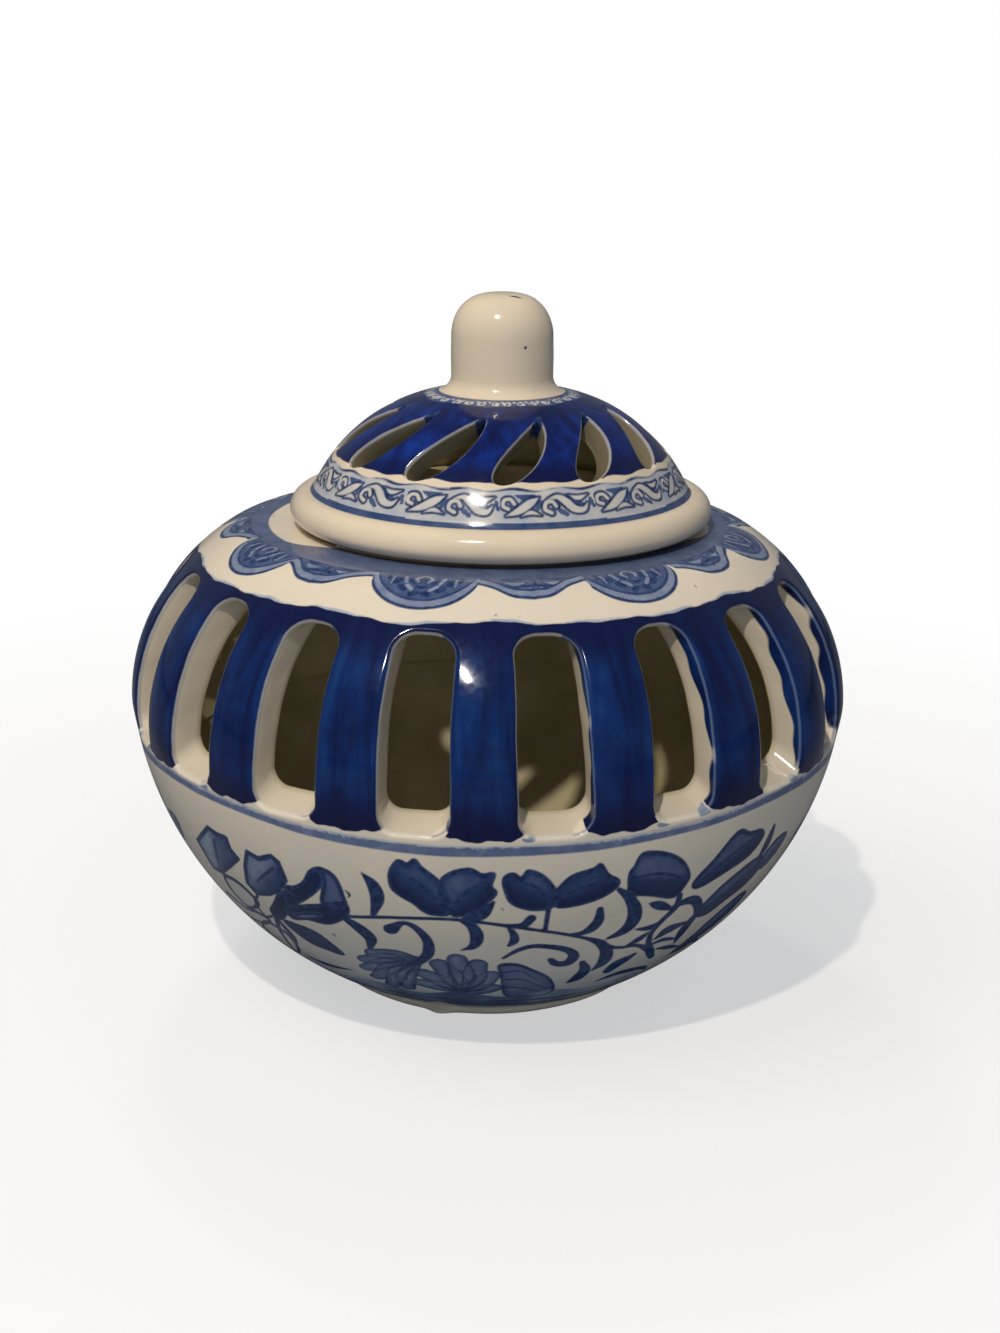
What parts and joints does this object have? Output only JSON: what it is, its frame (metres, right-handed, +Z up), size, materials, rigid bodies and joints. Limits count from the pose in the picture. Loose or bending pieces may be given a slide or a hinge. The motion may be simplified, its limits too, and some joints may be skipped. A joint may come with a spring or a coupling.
{
  "type": "potpourri jar",
  "caption": "Squat blue-and-white porcelain potpourri jar with upright slots round its wall and a pierced domed lid that lifts off by its knob.",
  "frame": {"origin": "centre of the foot's underside, on the table", "axes": "+Z up along the jar's axis, -Y towards the front of the picture, +X to its right"},
  "size_m": [0.1294, 0.13, 0.1256],
  "materials": {
    "foot": "glazed porcelain, bare biscuit on the resting edge",
    "painted_bowl": "white glaze over a blue floral scroll",
    "cobalt_wall": "glossy glaze over streaked cobalt wash",
    "cobalt_lid": "glossy glaze over cobalt wash and a scroll border",
    "white_glaze": "glossy warm white glaze"
  },
  "bodies": {
    "jar": {"foot_ring": "foot", "lower_bowl": "painted_bowl", "openwork_wall": "cobalt_wall", "mouth_ring": "white_glaze"},
    "lid_carrier": {"lid_flange": "white_glaze"},
    "lid": {"lid_rim": "white_glaze", "lid_dome": "cobalt_lid", "lid_knob": "white_glaze"}
  },
  "joints": [
    {"name": "lid_lift", "type": "slide", "parent": "jar", "child": "lid_carrier", "axis": [0, 0, 1], "range_m": [0, 0.08]},
    {"name": "lid_turn", "type": "hinge", "parent": "lid_carrier", "child": "lid", "pos_m": [0.002, 0, 0.0844], "axis": [0, 0, 1], "continuous": true}
  ]
}
